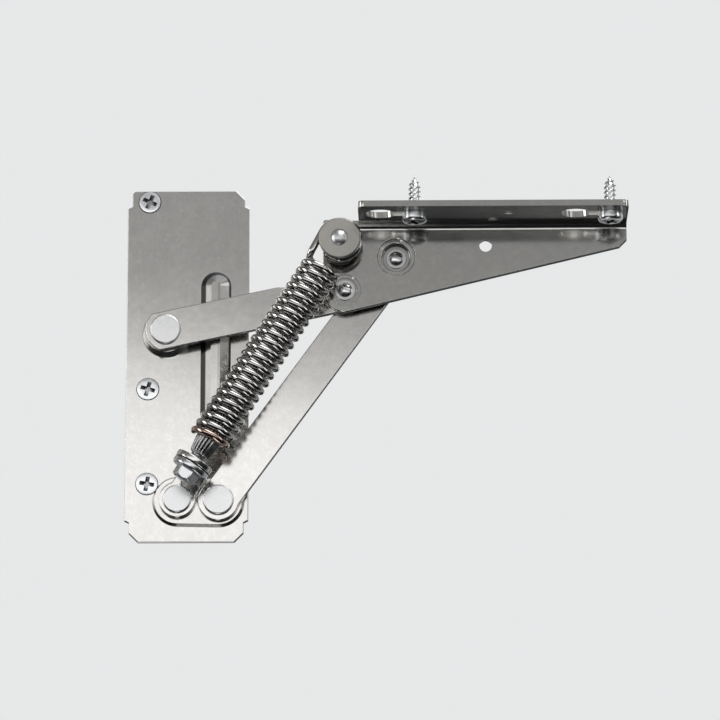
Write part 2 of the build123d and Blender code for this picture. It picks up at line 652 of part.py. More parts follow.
def pieces():
    """Every separate piece, by the name of its file."""
    lid_screw_x = KEYHOLE_X + KEYHOLE_RUN
    made = {
        "mounting_plate": mounting_plate(),
        "upper_pivot_rivet": plate_rivet(UPPER_PIVOT, upper_arm_front + RUN_GAP / 2, PLATE_RIVET_HEAD_D),
        "lower_pivot_rivet": plate_rivet(LOWER_PIVOT, lower_arm_front + RUN_GAP / 2, PLATE_RIVET_HEAD_D),
        "link_pivot_rivet": plate_rivet(LINK_PIVOT, lower_arm_front + RUN_GAP / 2, LINK_RIVET_HEAD_D),
        "upper_arm": upper_arm(),
        "lower_arm": lower_arm(),
        "flap_bracket": flap_bracket(),
        "rear_joint_rivet": rear_joint_rivet(),
        "front_joint_rivet": front_joint_rivet(),
        "front_joint_tail": front_joint_tail(),
        "spring_pin": spring_pin(),
        "pin_sleeve": pin_sleeve(),
        "pin_disc": pin_disc(),
        "lid_screw_inner": lid_screw(lid_screw_x),
        "lid_screw_outer": lid_screw(lid_screw_x + KEYHOLE_PITCH),
        "spring_link": spring_link(),
        "adjusting_screw": adjusting_screw(),
        "adjuster_washer": adjuster_washer(),
        "spring_plug": spring_plug(),
        "coil_spring": coil_spring(),
    }
    for place, z in screw_places().items():
        made[f"panel_screw_{place}"] = panel_screw(z)
    return made


os.makedirs("parts", exist_ok=True)
for name, piece in pieces().items():
    export_step(piece, f"parts/{name}.step")
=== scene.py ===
"""Looks of a swing-up lid stay: its spring, screws and adjuster, the finish of every
sheet and rivet, and a small studio around them. Lengths are in metres."""

import json
from math import acos, atan2, ceil, cos, hypot, pi, radians, sin

import bmesh
import bpy
from mathutils import Matrix, Vector


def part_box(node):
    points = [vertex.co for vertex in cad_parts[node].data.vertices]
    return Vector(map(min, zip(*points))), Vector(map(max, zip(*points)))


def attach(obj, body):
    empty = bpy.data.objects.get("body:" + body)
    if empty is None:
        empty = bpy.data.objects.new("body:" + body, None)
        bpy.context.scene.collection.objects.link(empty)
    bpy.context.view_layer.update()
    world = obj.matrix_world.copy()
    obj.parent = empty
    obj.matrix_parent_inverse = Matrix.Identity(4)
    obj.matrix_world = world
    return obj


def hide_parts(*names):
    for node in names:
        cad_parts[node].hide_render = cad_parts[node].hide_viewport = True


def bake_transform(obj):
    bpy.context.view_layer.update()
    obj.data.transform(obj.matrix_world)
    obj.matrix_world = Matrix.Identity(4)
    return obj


bl_info = {
    "name": "Lid stay",
    "version": (1, 0, 0),
    "blender": (4, 5, 0),
    "location": "View3D > Sidebar > Lid stay",
    "description": "Spring, screws, finishes and studio for a swing-up lid stay",
    "category": "Object",
}

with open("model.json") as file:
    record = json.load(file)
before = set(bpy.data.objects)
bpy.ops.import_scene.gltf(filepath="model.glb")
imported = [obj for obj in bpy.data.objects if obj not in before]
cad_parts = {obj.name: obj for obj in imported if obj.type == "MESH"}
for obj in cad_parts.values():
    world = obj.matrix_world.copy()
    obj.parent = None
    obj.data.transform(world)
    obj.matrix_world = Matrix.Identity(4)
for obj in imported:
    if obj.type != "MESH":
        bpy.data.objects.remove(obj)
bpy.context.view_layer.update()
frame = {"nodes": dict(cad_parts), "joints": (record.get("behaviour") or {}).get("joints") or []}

MM = 0.001
PLATE_RIVET_NODES = ("upper_pivot_rivet", "lower_pivot_rivet", "link_pivot_rivet")
JOINT_RIVET_NODES = ("rear_joint_rivet", "front_joint_rivet", "front_joint_tail")
SHARP_ANGLE = radians(38)
SCREW_THREAD_R = 2.1 * MM
# radius of the small face that closes a turned piece at its axis
POINT_R = 0.15 * MM
# the stiffening bead of the plate, and the colour of the painted shade inside it
BEAD_CENTRE_X = 22.3 * MM
BEAD_WIDTH = 9.6 * MM
BEAD_TOP = 23.6 * MM
BEAD_BOTTOM = -29.0 * MM
PAINTED_SHADE = (0.07, 0.072, 0.072)


def middle_of(node):
    low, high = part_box(node)
    return (low + high) / 2


def joint(name):
    return next(entry for entry in frame["joints"] if entry["name"] == name)


# ---- settings ----------------------------------------------------------------
class FinishSettings(bpy.types.PropertyGroup):
    """Colours and gloss of the plated sheets, rivets and screws."""

    plate_colour: bpy.props.FloatVectorProperty(
        name="Plate colour", description="Zinc of the mounting plate",
        default=(0.70, 0.69, 0.667), size=3, min=0, max=1, subtype="COLOR",
    )
    arm_colour: bpy.props.FloatVectorProperty(
        name="Arm colour", description="Zinc of both arms and the spring link",
        default=(0.735, 0.722, 0.70), size=3, min=0, max=1, subtype="COLOR",
    )
    bracket_colour: bpy.props.FloatVectorProperty(
        name="Bracket colour", description="Nickel of the lid bracket",
        default=(0.585, 0.58, 0.56), size=3, min=0, max=1, subtype="COLOR",
    )
    rivet_colour: bpy.props.FloatVectorProperty(
        name="Rivet colour", description="Plated rivet heads",
        default=(0.91, 0.915, 0.92), size=3, min=0, max=1, subtype="COLOR",
    )
    pin_colour: bpy.props.FloatVectorProperty(
        name="Pin colour", description="Turned spring pin and its disc",
        default=(0.50, 0.485, 0.445), size=3, min=0, max=1, subtype="COLOR",
    )
    screw_colour: bpy.props.FloatVectorProperty(
        name="Screw colour", description="Bright zinc of the screws",
        default=(0.83, 0.845, 0.86), size=3, min=0, max=1, subtype="COLOR",
    )
    sheet_roughness: bpy.props.FloatProperty(
        name="Sheet roughness", description="Mean roughness of the rolled sheets",
        default=0.15, min=0.02, max=1, subtype="FACTOR",
    )


class SpringSettings(bpy.types.PropertyGroup):
    """Sizes of the tension spring, measured along it from the link pivot."""

    wire_diameter: bpy.props.FloatProperty(
        name="Wire", description="Diameter of the spring wire", default=2.4 * MM,
        unit="LENGTH", precision=5,
    )
    turns: bpy.props.IntProperty(
        name="Turns", description="Turns between the cut end and the loop", default=23, min=3,
    )
    coil_start: bpy.props.FloatProperty(
        name="First turn", description="Where the coil starts", default=20.3 * MM,
        unit="LENGTH", precision=5,
    )
    coil_end: bpy.props.FloatProperty(
        name="Last turn", description="Where the coil ends", default=89.8 * MM,
        unit="LENGTH", precision=5,
    )
    loop_radius: bpy.props.FloatProperty(
        name="Loop radius", description="Mean radius of the loop round the pin",
        default=6.4 * MM, unit="LENGTH", precision=5,
    )
    loop_sweep: bpy.props.FloatProperty(
        name="Loop sweep", description="How far the loop reaches round the pin",
        default=radians(285), unit="ROTATION",
    )
    wire_colour: bpy.props.FloatVectorProperty(
        name="Wire colour", description="Polished nickel of the wire",
        default=(0.60, 0.592, 0.575), size=3, min=0, max=1, subtype="COLOR",
    )
    # a coppery colour on the first turn of the wire
    first_turn_colour: bpy.props.FloatVectorProperty(
        name="First turn colour", description="Coppery colouring that shows on the first turn",
        default=(0.52, 0.37, 0.31), size=3, min=0, max=1, subtype="COLOR",
    )


class ScrewSettings(bpy.types.PropertyGroup):
    """Sizes that the wood screws share."""

    pitch: bpy.props.FloatProperty(
        name="Pitch", description="Pitch of the wood thread", default=1.6 * MM,
        unit="LENGTH", precision=5,
    )
    thread_depth: bpy.props.FloatProperty(
        name="Thread depth", description="Height of the thread over its core",
        default=0.55 * MM, unit="LENGTH", precision=5,
    )
    recess_span: bpy.props.FloatProperty(
        name="Recess span", description="Width across the cross recess",
        default=4.9 * MM, unit="LENGTH", precision=5,
    )
    wing_width: bpy.props.FloatProperty(
        name="Wing width", description="Width of each wing of the recess",
        default=1.35 * MM, unit="LENGTH", precision=5,
    )
    recess_depth: bpy.props.FloatProperty(
        name="Recess depth", description="Depth of the recess",
        default=1.9 * MM, unit="LENGTH", precision=5,
    )


class AdjusterSettings(bpy.types.PropertyGroup):
    """Sizes of the adjusting screw and its plug, measured up the spring from the link pivot."""

    head_start: bpy.props.FloatProperty(
        name="Head face", description="Where the face of the hexagon head lies",
        default=4.5 * MM, unit="LENGTH", precision=5,
    )
    head_height: bpy.props.FloatProperty(
        name="Head height", description="Height of the hexagon head", default=3.6 * MM,
        unit="LENGTH", precision=5,
    )
    flats: bpy.props.FloatProperty(
        name="Flats", description="Width across the flats", default=7.2 * MM,
        unit="LENGTH", precision=5,
    )
    washer_start: bpy.props.FloatProperty(
        name="Washer face", description="Where the lower face of the washer lies",
        default=8.1 * MM, unit="LENGTH", precision=5,
    )
    washer_height: bpy.props.FloatProperty(
        name="Washer height", description="Thickness of the washer", default=2.2 * MM,
        unit="LENGTH", precision=5,
    )
    washer: bpy.props.FloatProperty(
        name="Washer", description="Diameter of the washer", default=12.4 * MM,
        unit="LENGTH", precision=5,
    )
    rod: bpy.props.FloatProperty(
        name="Rod", description="Diameter over the thread", default=5.2 * MM,
        unit="LENGTH", precision=5,
    )
    rod_end: bpy.props.FloatProperty(
        name="Rod end", description="Where the rod ends", default=27.5 * MM,
        unit="LENGTH", precision=5,
    )
    pitch: bpy.props.FloatProperty(
        name="Pitch", description="Pitch of the machine thread", default=0.8 * MM,
        unit="LENGTH", precision=5,
    )
    plug_start: bpy.props.FloatProperty(
        name="Plug face", description="Where the lower face of the plug lies",
        default=14.3 * MM, unit="LENGTH", precision=5,
    )
    plug_end: bpy.props.FloatProperty(
        name="Plug end", description="Where the plug ends inside the coils",
        default=30.0 * MM, unit="LENGTH", precision=5,
    )
    plug_cone: bpy.props.FloatProperty(
        name="Cone", description="Length of its tapered end", default=4.9 * MM,
        unit="LENGTH", precision=5,
    )
    plug_tip: bpy.props.FloatProperty(
        name="Tip", description="Diameter of its lower face", default=6.7 * MM,
        unit="LENGTH", precision=5,
    )
    plug_diameter: bpy.props.FloatProperty(
        name="Plug", description="Diameter inside the coils", default=8.3 * MM,
        unit="LENGTH", precision=5,
    )
    flutes: bpy.props.IntProperty(
        name="Flutes", description="Grooves along the plug", default=18, min=0,
    )
    flute_depth: bpy.props.FloatProperty(
        name="Flute depth", description="Depth of each groove", default=0.3 * MM,
        unit="LENGTH", precision=5,
    )


class StageSettings(bpy.types.PropertyGroup):
    """Floor, surroundings, lights and camera."""

    floor_colour: bpy.props.FloatVectorProperty(
        name="Floor", description="Pale floor", default=(0.86, 0.86, 0.85), size=3,
        min=0, max=1, subtype="COLOR",
    )
    backdrop: bpy.props.FloatVectorProperty(
        name="Surroundings", description="Pale surroundings behind the part",
        default=(0.80, 0.805, 0.81), size=3, min=0, max=1, subtype="COLOR",
    )
    distance: bpy.props.FloatProperty(
        name="Camera distance", description="From the middle of the view to the camera",
        default=1.5, unit="LENGTH",
    )
    view_width: bpy.props.FloatProperty(
        name="View width", description="Width that the camera sees at the part",
        default=0.2377, unit="LENGTH", precision=4,
    )
    elevation: bpy.props.FloatProperty(
        name="Elevation", description="Camera's angle over the horizon",
        default=radians(-14), unit="ROTATION",
    )
    azimuth: bpy.props.FloatProperty(
        name="Azimuth", description="Camera's angle round the part",
        default=radians(1), unit="ROTATION",
    )


# ---- node helpers --------------------------------------------------------------
class Shader:
    """A Principled material and short calls that add nodes to it."""

    def __init__(self, name, colour, roughness, metallic=1.0):
        self.material = bpy.data.materials.new(name)
        self.material.use_nodes = True
        self.nodes = self.material.node_tree.nodes
        self.links = self.material.node_tree.links
        self.surface = self.nodes["Principled BSDF"]
        self.surface.inputs["Base Color"].default_value = (*colour, 1)
        self.surface.inputs["Roughness"].default_value = roughness
        self.surface.inputs["Metallic"].default_value = metallic
        self.coordinates = self.nodes.new("ShaderNodeTexCoord")
        self.place = self.coordinates.outputs["Object"]

    def node(self, kind, **inputs):
        made = self.nodes.new(kind)
        for key, value in inputs.items():
            socket = made.inputs[key.replace("_", " ")]
            if isinstance(value, bpy.types.NodeSocket):
                self.links.new(value, socket)
            else:
                socket.default_value = value
        return made

    def stretched(self, scale, turn=(0, 0, 0)):
        """Object coordinates, turned and then scaled along each axis."""
        turned = self.node("ShaderNodeMapping", Vector=self.place, Rotation=turn)
        return self.node("ShaderNodeMapping", Vector=turned.outputs[0], Scale=scale).outputs[0]

    def noise(self, place, scale, detail=4.0, roughness=0.55):
        made = self.node(
            "ShaderNodeTexNoise", Vector=place, Scale=scale, Detail=detail, Roughness=roughness,
        )
        return made.outputs["Fac"]

    def between(self, value, low, high, to_low=0.0, to_high=1.0):
        """Value taken from one range to another, clamped."""
        made = self.node("ShaderNodeMapRange", Value=value)
        for socket, number in zip(list(made.inputs)[1:5], (low, high, to_low, to_high)):
            socket.default_value = number
        return made.outputs["Result"]

    def math(self, operation, first, second):
        made = self.nodes.new("ShaderNodeMath")
        made.operation = operation
        for socket, value in zip(made.inputs, (first, second)):
            if isinstance(value, bpy.types.NodeSocket):
                self.links.new(value, socket)
            else:
                socket.default_value = value
        return made.outputs[0]

    def mix(self, factor, first, second):
        """Mix of two colours, each a tuple or a socket."""
        made = self.nodes.new("ShaderNodeMix")
        made.data_type = "RGBA"
        self.links.new(factor, made.inputs["Factor"])
        colour_sockets = [entry for entry in made.inputs if entry.type == "RGBA"]
        for socket, value in zip(colour_sockets, (first, second)):
            if isinstance(value, bpy.types.NodeSocket):
                self.links.new(value, socket)
            else:
                socket.default_value = (*value, 1)
        return next(entry for entry in made.outputs if entry.type == "RGBA")

    def colour(self, socket, crease=0.22, reach=0.45 * MM):
        """Base colour, darkened by painted shade in a crease, where ambient occlusion finds little open
        space around a place.
        """
        open_share = self.node("ShaderNodeAmbientOcclusion", Distance=reach)
        open_share.samples = 8
        # painted shade: the colour falls to the crease share where little space is open
        toned = self.between(open_share.outputs["AO"], 0.42, 0.88, crease, 1.0)
        darkened = self.nodes.new("ShaderNodeVectorMath")
        darkened.operation = "SCALE"
        self.links.new(socket, darkened.inputs[0])
        self.links.new(toned, darkened.inputs["Scale"])
        self.links.new(darkened.outputs[0], self.surface.inputs["Base Color"])

    def bead(self, socket):
        """Colour with the pressed bead in it, and how far a place faces up within the bead.

        Painted shade makes its walls dark, its right half shaded and its upper end dim.
        """
        place = self.node("ShaderNodeSeparateXYZ", Vector=self.place)
        aside = self.math("SUBTRACT", place.outputs["X"], BEAD_CENTRE_X)
        end_r = BEAD_WIDTH / 2
        level = self.math("MINIMUM", place.outputs["Z"], BEAD_TOP - end_r)
        level = self.math("MAXIMUM", level, BEAD_BOTTOM + end_r)
        along = self.math("SUBTRACT", place.outputs["Z"], level)
        offset = self.node("ShaderNodeCombineXYZ", X=aside, Z=along)
        reach = self.node("ShaderNodeVectorMath", Vector=offset.outputs[0])
        reach.operation = "LENGTH"
        # the painted shade of the wall on the left is wider than that of the one on the right
        foot = self.between(aside, -0.4 * end_r, 0.7 * end_r, 0.68 * end_r, 0.89 * end_r)
        inward = self.math("SUBTRACT", reach.outputs["Value"], foot)
        wall = self.math(
            "MULTIPLY",
            self.between(inward, -0.03 * end_r, 0.04 * end_r),
            self.between(reach.outputs["Value"], 1.05 * end_r, 1.01 * end_r),
        )
        inside = self.between(reach.outputs["Value"], 1.01 * end_r, 0.98 * end_r)
        half = self.between(aside, 0.12 * end_r, 0.16 * end_r, 0.0, 0.3)
        right = self.math("MULTIPLY", inside, half)
        facing = self.node("ShaderNodeSeparateXYZ", Vector=self.coordinates.outputs["Normal"])
        sloped = self.between(facing.outputs["Z"], 0.05, 0.25, 0.0, 0.85)
        upward = self.math("MULTIPLY", inside, sloped)
        # painted shade on the right half and the upper end, and a darker painted shade on the walls
        shaded = self.mix(right, socket, shade(PAINTED_SHADE, 3.0))
        shaded = self.mix(upward, shaded, shade(PAINTED_SHADE, 3.0))
        return self.mix(wall, shaded, PAINTED_SHADE), upward

    def roughness(self, socket):
        self.links.new(socket, self.surface.inputs["Roughness"])

    def bump(self, height, distance, strength=1.0):
        """Adds a layer of relief over the ones before it."""
        made = self.node("ShaderNodeBump", Height=height, Distance=distance, Strength=strength)
        before = self.surface.inputs["Normal"].links
        if before:
            self.links.new(before[0].from_socket, made.inputs["Normal"])
        self.links.new(made.outputs[0], self.surface.inputs["Normal"])


def shade(colour, factor):
    """A colour made darker or lighter."""
    return tuple(min(1.0, part * factor) for part in colour)


# ---- finishes --------------------------------------------------------------------
def rolled_zinc(name, colour, roughness, grain_angle, speckle=1.0, beaded=False):
    """Plated sheet: clouds in the plating, grain of the rolling, specks and fine scratches."""
    look = Shader(name, colour, roughness)
    clouds = look.noise(look.place, 55, detail=5, roughness=0.6)
    cast = look.noise(look.place, 18, detail=3)
    tinted = look.mix(look.between(clouds, 0.35, 0.68), shade(colour, 0.93), shade(colour, 1.05))
    warm = (colour[0] * 1.02, colour[1] * 0.985, colour[2] * 0.93)
    clouded = look.mix(look.between(cast, 0.45, 0.75, 0, 0.5), tinted, warm)
    mottle = look.between(look.noise(look.place, 420, detail=5, roughness=0.7), 0.32, 0.68)
    mottled = look.mix(mottle, shade(colour, 0.955), look.mix(mottle, clouded, shade(colour, 1.06)))
    specks = look.between(look.noise(look.place, 1100, detail=2), 0.66, 0.72, 0.0, 0.4 * speckle)
    marking = look.mix(specks, mottled, shade(colour, 1.3))
    dull = 0.0
    # the bead takes painted shade on its walls, its right half and its upper end
    if beaded:
        marking, dull = look.bead(marking)
    look.colour(marking)
    along_grain = look.stretched((120, 1900, 1900), turn=(0, grain_angle, 0))
    grain = look.noise(along_grain, 1.0, detail=3, roughness=0.7)
    cloud_gloss = look.between(clouds, 0.3, 0.72, roughness * 0.86, roughness * 1.16)
    gloss = look.math("ADD", cloud_gloss, look.between(grain, 0.3, 0.7, -0.012, 0.018))
    look.roughness(look.math("MAXIMUM", gloss, look.math("MULTIPLY", dull, 0.6)))
    look.bump(look.noise(look.place, 60, detail=2), 0.00005 * speckle, 0.5)
    look.bump(look.noise(look.place, 700, detail=2, roughness=0.5), 0.000003 * speckle, 0.5)
    look.bump(grain, 0.0000015, 0.5)
    return look.material


def turned_steel(name, colour, roughness, centre, spokes=False):
    """Plated rivet or turned face, with fine rings or spokes about its centre."""
    look = Shader(name, colour, roughness)
    offset = look.node("ShaderNodeVectorMath", Vector=look.place)
    offset.operation = "SUBTRACT"
    offset.inputs[1].default_value = centre
    parts = look.node("ShaderNodeSeparateXYZ", Vector=offset.outputs[0])
    flat = look.node("ShaderNodeCombineXYZ", X=parts.outputs["X"], Z=parts.outputs["Z"])
    if spokes:
        spread = look.node("ShaderNodeVectorMath", Vector=flat.outputs[0])
        spread.operation = "NORMALIZE"
        marks = look.noise(spread.outputs[0], 16, detail=5, roughness=0.75)
    else:
        reach = look.node("ShaderNodeVectorMath", Vector=flat.outputs[0])
        reach.operation = "LENGTH"
        ring_place = look.node("ShaderNodeCombineXYZ", X=reach.outputs["Value"])
        marks = look.noise(ring_place.outputs[0], 2600, detail=2)
    clouds = look.noise(look.place, 260, detail=4, roughness=0.6)
    tone = look.math("ADD", look.math("MULTIPLY", marks, 0.6), look.math("MULTIPLY", clouds, 0.4))
    look.colour(look.mix(look.between(tone, 0.38, 0.62), shade(colour, 0.88), shade(colour, 1.06)))
    look.roughness(look.between(tone, 0.35, 0.65, roughness * 0.8, roughness * 1.25))
    look.bump(clouds, 0.00003, 0.4)
    look.bump(marks, 0.00002 if spokes else 0.000006, 0.4)
    return look.material


def bright_steel(name, colour, roughness, dimming=0.28):
    """Glossy plating of small parts, darkened to the given share by painted shade in a recess."""
    look = Shader(name, colour, roughness)
    clouds = look.noise(look.place, 420, detail=4, roughness=0.6)
    plated = look.mix(look.between(clouds, 0.3, 0.7), shade(colour, 0.9), shade(colour, 1.05))
    recess = look.nodes.new("ShaderNodeAttribute")
    recess.attribute_name = "in_recess"
    # painted shade on the faces inside the cross recess
    look.colour(look.mix(recess.outputs["Fac"], plated, shade(colour, dimming)))
    look.roughness(look.between(clouds, 0.3, 0.7, roughness * 0.8, roughness * 1.4))
    look.bump(clouds, 0.00002, 0.4)
    return look.material


def spring_wire(name, colour, first_turn_colour):
    """Polished wire with clouds in its plating, coppery on its first turn."""
    look = Shader(name, colour, 0.16)
    along = look.nodes.new("ShaderNodeAttribute")
    along.attribute_name = "from_cut_end"
    clouds = look.noise(look.place, 500, detail=4, roughness=0.6)
    ragged = look.math("ADD", along.outputs["Fac"], look.between(clouds, 0.2, 0.8, -0.35, 0.35))
    marking = look.between(ragged, 0.95, 0.5, 0, 0.8)
    dimming = look.noise(look.place, 130, detail=4)
    toned = look.mix(look.between(dimming, 0.35, 0.7), shade(colour, 0.82), shade(colour, 1.06))
    # painted shade where the turns lie close
    look.colour(look.mix(marking, toned, first_turn_colour), crease=0.12, reach=0.9 * MM)
    look.roughness(look.between(clouds, 0.3, 0.7, 0.07, 0.13))
    look.bump(clouds, 0.00002, 0.4)
    return look.material


def dress(nodes, material):
    """Puts a material on every slot of the CAD nodes."""
    for name in nodes:
        for slot in frame["nodes"][name].material_slots:
            slot.material = material


def soften(nodes, width):
    """Rounds the sharp edges of CAD nodes a little, so that they catch the light."""
    for name in nodes:
        node = frame["nodes"][name]
        weld = node.modifiers.new("weld", "WELD")
        weld.merge_threshold = 0.001 * MM
        bevel = node.modifiers.new("soft_edges", "BEVEL")
        bevel.width = width
        bevel.segments = 2
        bevel.angle_limit = radians(40)
        node.modifiers.new("flat_faces", "WEIGHTED_NORMAL")


# ---- mesh helpers -----------------------------------------------------------------
def linked(name, data):
    """New object in the scene."""
    made = bpy.data.objects.new(name, data)
    bpy.context.scene.collection.objects.link(made)
    return made


def new_object(name, mesh, material):
    mesh.shade_smooth()
    mesh.set_sharp_from_angle(angle=SHARP_ANGLE)
    mesh.materials.append(material)
    return linked(name, mesh)


def skin(rings, joined=False):
    """Mesh over a row of rings with equally many points: capped, or joined last to first."""
    mesh = bpy.data.meshes.new("skin")
    work = bmesh.new()
    rows = [[work.verts.new(point) for point in ring] for ring in rings]
    count = len(rows[0])
    pairs = list(zip(rows, rows[1:]))
    if joined:
        pairs.append((rows[-1], rows[0]))
    else:
        work.faces.new(list(reversed(rows[0])))
        work.faces.new(rows[-1])
    for below, above in pairs:
        for i in range(count):
            j = (i + 1) % count
            work.faces.new((below[i], below[j], above[j], above[i]))
    bmesh.ops.recalc_face_normals(work, faces=work.faces)
    work.to_mesh(mesh)
    work.free()
    return mesh


def tube_rings(points, radius, sides, end_chamfer):
    """Rings along a wire, turned as little as possible from one to the next."""
    rings = []
    direction = (points[1] - points[0]).normalized()
    side = direction.orthogonal().normalized()
    last = len(points) - 1
    for i, point in enumerate(points):
        ahead = (points[min(i + 1, last)] - points[max(i - 1, 0)]).normalized()
        side = (side - ahead * side.dot(ahead)).normalized()
        up = ahead.cross(side)
        size = radius - end_chamfer if i in (0, last) else radius
        angles = [2 * pi * k / sides for k in range(sides)]
        rings.append([point + size * (cos(a) * side + sin(a) * up) for a in angles])
    return rings


def cut(target, cutters):
    """Takes the cutters out of a mesh object, and removes them."""
    for cutter in cutters:
        step = target.modifiers.new("recess", "BOOLEAN")
        step.operation = "DIFFERENCE"
        step.solver = "EXACT"
        step.object = cutter
    bpy.context.view_layer.update()
    graph = bpy.context.evaluated_depsgraph_get()
    finished = bpy.data.meshes.new_from_object(target.evaluated_get(graph))
    target.modifiers.clear()
    target.data = finished
    for cutter in cutters:
        bpy.data.objects.remove(cutter)


def tapered_bar(width, length, depth, turn, sink=0.45):
    """Cutter for one pair of wings of a cross recess, along -Z from the face of the head.

    Its floor has the given share of the length that it has at the face.
    """
    lift = 0.6 * MM
    mesh = bpy.data.meshes.new("wing")
    work = bmesh.new()
    rings = []
    for level, share in ((lift, 1.0 + lift / depth * (1 - sink)), (-depth, sink)):
        half_w = width / 2 * (0.55 + 0.45 * share)
        half_l = length / 2 * share
        corners = ((half_l, half_w), (-half_l, half_w), (-half_l, -half_w), (half_l, -half_w))
        rings.append([work.verts.new((x, y, level)) for x, y in corners])
    for i in range(4):
        j = (i + 1) % 4
        work.faces.new((rings[0][i], rings[0][j], rings[1][j], rings[1][i]))
    work.faces.new(rings[0])
    work.faces.new(list(reversed(rings[1])))
    bmesh.ops.recalc_face_normals(work, faces=work.faces)
    bmesh.ops.rotate(work, verts=work.verts, matrix=Matrix.Rotation(turn, 3, "Z"))
    work.to_mesh(mesh)
    work.free()
    return linked("wing", mesh)


def lathe_rings(profile, sides):
    """Rings about Z through (radius, z) pairs."""
    angles = [2 * pi * k / sides for k in range(sides)]
    return [[Vector((r * cos(a), r * sin(a), z)) for a in angles] for r, z in profile]


def thread_rings(start, end, core_r, crest_r, pitch, sides, tip=0.0, flank=4):
    """Rings of a right-handed thread about Z, from start down to end.

    It runs to a point over the length tip. A flank of 2 gives the full V of a machine
    screw, and more leaves flats between the crests.
    """
    rings = []
    steps_per_turn = 10
    point_r = 0.12 * MM
    count = ceil((start - end) / pitch * steps_per_turn)
    for i in range(count + 1):
        z = start + (end - start) * i / count
        to_tip = min(1.0, (z - end) / tip) if tip else 1.0
        fade = min(1.0, (start - z) / pitch)
        ring = []
        for k in range(sides):
            angle = 2 * pi * k / sides
            phase = (z / pitch - k / sides) % 1.0
            ridge = max(0.0, 1 - abs(phase - 0.5) * flank)
            core = max(core_r * to_tip, point_r)
            radius = core + (crest_r - core_r) * ridge * fade * min(1.0, to_tip * 1.6)
            ring.append(Vector((radius * cos(angle), radius * sin(angle), z)))
        rings.append(ring)
    return rings


def rounded(radius_in, radius_out, z_in, z_out, steps):
    """Quarter curve from a face out to a side, as (radius, z) pairs."""
    pairs = []
    for i in range(steps + 1):
        turn = pi / 2 * i / steps
        radius = radius_in + (radius_out - radius_in) * sin(turn)
        pairs.append((radius, z_in + (z_out - z_in) * (1 - cos(turn))))
    return pairs


# ---- operators ----------------------------------------------------------------------
class LIDSTAY_OT_sheets(bpy.types.Operator):
    """Finishes the plate, both arms, the spring link and the lid bracket"""

    bl_idname = "lid_stay.finish_sheets"
    bl_label = "Finish the sheets"

    def execute(self, context):
        finish = context.scene.lid_stay_finish
        rough = finish.sheet_roughness
        upper = middle_of("upper_arm") - middle_of("upper_pivot_rivet")
        lower = middle_of("lower_arm") - middle_of("lower_pivot_rivet")
        upper_grain = atan2(upper.z, upper.x)
        lower_grain = atan2(lower.z, lower.x)
        plate = rolled_zinc("plate_zinc", finish.plate_colour, rough, pi / 2, beaded=True)
        dress(("mounting_plate",), plate)
        dress(("upper_arm",), rolled_zinc("upper_arm_zinc", finish.arm_colour, rough, upper_grain))
        dress(("lower_arm",), rolled_zinc("lower_arm_zinc", finish.arm_colour, rough, lower_grain))
        dress(("spring_link",), rolled_zinc("link_zinc", finish.arm_colour, rough, lower_grain))
        bracket = rolled_zinc("bracket_nickel", finish.bracket_colour, rough * 0.85, 0.0, 1.2)
        dress(("flap_bracket",), bracket)
        soften(("flap_bracket", "upper_arm", "lower_arm"), 0.12 * MM)
        soften(("spring_link",), 0.35 * MM)
        return {"FINISHED"}


class LIDSTAY_OT_rivets(bpy.types.Operator):
    """Finishes every rivet, the spring pin, its sleeve and its disc"""

    bl_idname = "lid_stay.finish_rivets"
    bl_label = "Finish the rivets"

    def execute(self, context):
        finish = context.scene.lid_stay_finish
        for name in PLATE_RIVET_NODES:
            steel = turned_steel(name + "_steel", finish.rivet_colour, 0.3, middle_of(name), spokes=True)
            dress((name,), steel)
        turned = [(name, shade(finish.rivet_colour, 0.88), 0.19) for name in JOINT_RIVET_NODES]
        turned += [
            ("spring_pin", shade(finish.rivet_colour, 0.85), 0.36),
            ("pin_sleeve", finish.pin_colour, 0.4),
            ("pin_disc", finish.pin_colour, 0.5),
        ]
        for name, colour, rough in turned:
            dress((name,), turned_steel(name + "_steel", colour, rough, middle_of(name)))
        return {"FINISHED"}


def spring_axes():
    """Origin and axes of the spring: left, away from the panel, and up the spring."""
    up = Vector(joint("spring_stretch")["axis"]).normalized()
    away = Vector((0, -1, 0))
    left = away.cross(up)
    pivot = Vector(joint("spring_swing")["pos_m"])
    origin = Vector((pivot.x, middle_of("coil_spring").y, pivot.z))
    return origin, left, away, up


